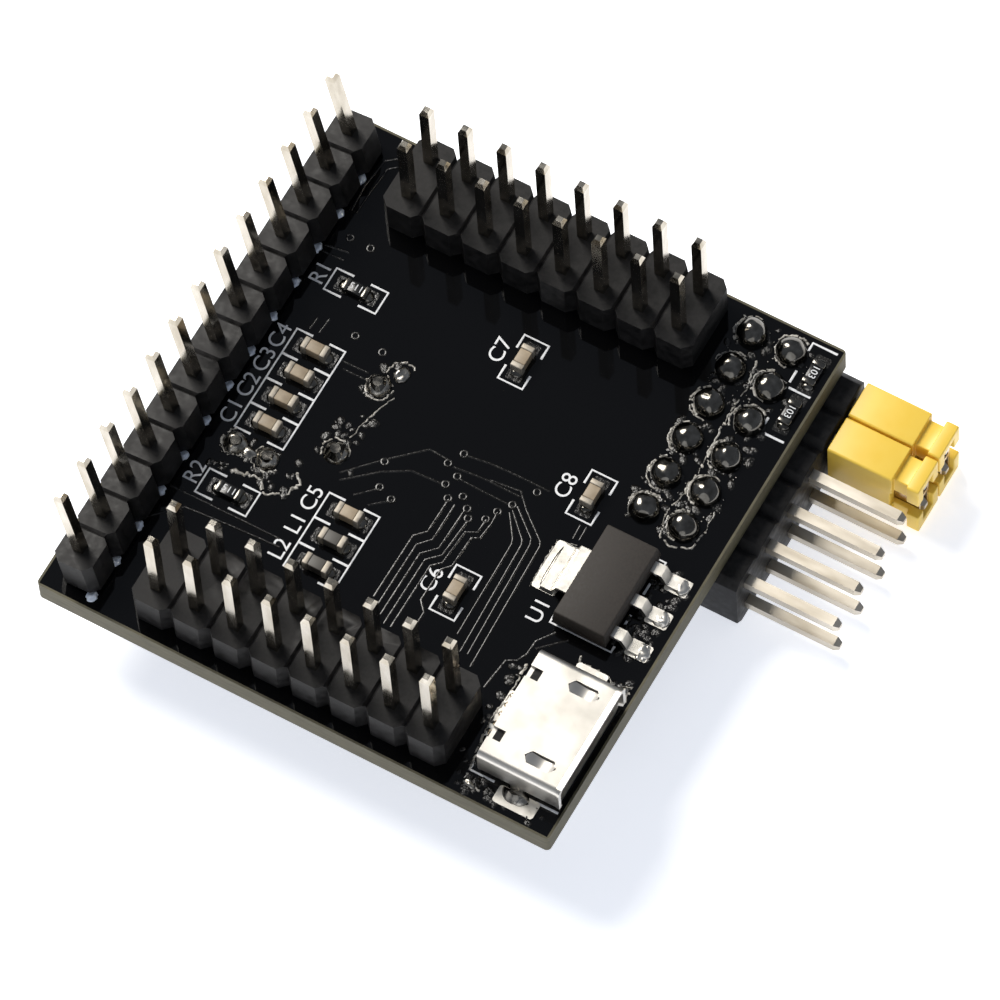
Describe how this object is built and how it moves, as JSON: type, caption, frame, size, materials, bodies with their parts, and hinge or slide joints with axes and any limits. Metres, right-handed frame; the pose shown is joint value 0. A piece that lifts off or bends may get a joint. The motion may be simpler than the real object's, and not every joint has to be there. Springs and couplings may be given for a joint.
{
  "type": "microcontroller development board",
  "caption": "Small square black circuit board with long pin headers on three edges, a micro USB socket, and a right-angle header with two yellow jumper caps.",
  "frame": {"origin": "centre of the bare board's upper face, the face that the long header pins stand on", "axes": "+Z out of that face along the header pins, +X towards the USB socket's mouth and the right-angle header, +Y towards the far 2 by 8 header"},
  "size_m": [0.0409, 0.0348, 0.0155],
  "materials": {
    "board_laminate": "black solder mask on glass-epoxy laminate",
    "header_plastic": "moulded black glass-filled polyester",
    "pin_metal": "square brass wire, flash plated",
    "solder": "reflowed and hand-made tin solder joints",
    "cap_plastic": "moulded yellow polyester",
    "contact_metal": "folded phosphor bronze strip",
    "shell_steel": "folded nickel-plated steel",
    "tongue_plastic": "moulded black liquid-crystal polymer",
    "regulator_moulding": "moulded dark grey epoxy",
    "lead_metal": "tinned copper lead frame",
    "capacitor_ceramic": "fired tan ceramic",
    "inductor_ferrite": "fired grey ferrite",
    "resistor_glaze": "alumina chip under black glass glaze",
    "chip_terminal": "tin-plated end caps",
    "controller_moulding": "moulded black epoxy",
    "crystal_steel": "drawn nickel-silver can",
    "button_plastic": "moulded black nylon",
    "button_steel": "pressed stainless steel",
    "led_resin": "clear resin over a pale chip"
  },
  "bodies": {
    "board": {"pcb": "board_laminate", "header_left_body": "header_plastic", "header_left_pins": "pin_metal", "header_far_body": "header_plastic", "header_far_pins": "pin_metal", "header_near_body": "header_plastic", "header_near_pins": "pin_metal", "header_solder": "solder", "ra_header_body": "header_plastic", "ra_header_upper_pins": "pin_metal", "ra_header_lower_pins": "pin_metal", "ra_header_solder": "solder", "usb_shell": "shell_steel", "usb_contacts": "contact_metal", "usb_tongue": "tongue_plastic", "usb_solder": "solder", "regulator_leads": "lead_metal", "regulator_tab": "lead_metal", "regulator_body": "regulator_moulding", "capacitor_bodies": "capacitor_ceramic", "capacitor_terminals": "chip_terminal", "inductor_bodies": "inductor_ferrite", "inductor_terminals": "chip_terminal", "resistor_bodies": "resistor_glaze", "resistor_terminals": "chip_terminal", "tinned_spots": "solder", "mcu_leads": "lead_metal", "mcu_package": "controller_moulding", "crystal_base": "crystal_steel", "crystal_can": "crystal_steel", "crystal_leads": "lead_metal", "crystal_solder": "solder", "watch_crystal_can": "crystal_steel", "watch_crystal_leads": "lead_metal", "watch_crystal_solder": "solder", "button_base": "button_plastic", "button_dome": "button_steel", "button_cover": "button_steel", "button_terminals": "lead_metal", "led_bodies": "led_resin", "led_terminals": "chip_terminal", "under_capacitor_bodies": "capacitor_ceramic", "under_capacitor_terminals": "chip_terminal", "under_resistor_bodies": "resistor_glaze", "under_resistor_terminals": "chip_terminal"},
    "jumper_1": {"jumper_cap_1": "cap_plastic", "jumper_clip_1": "contact_metal"},
    "jumper_2": {"jumper_cap_2": "cap_plastic", "jumper_clip_2": "contact_metal"},
    "reset_button": {"button_plunger": "button_plastic"}
  },
  "joints": [
    {"name": "jumper_1_pull", "type": "slide", "parent": "board", "child": "jumper_1", "axis": [1, 0, 0], "range_m": [0, 0.007]},
    {"name": "jumper_2_pull", "type": "slide", "parent": "board", "child": "jumper_2", "axis": [1, 0, 0], "range_m": [0, 0.007]},
    {"name": "reset_press", "type": "slide", "parent": "board", "child": "reset_button", "axis": [0, 0, 1], "range_m": [0, 0.00025], "stiffness_N_per_m": 1500}
  ]
}
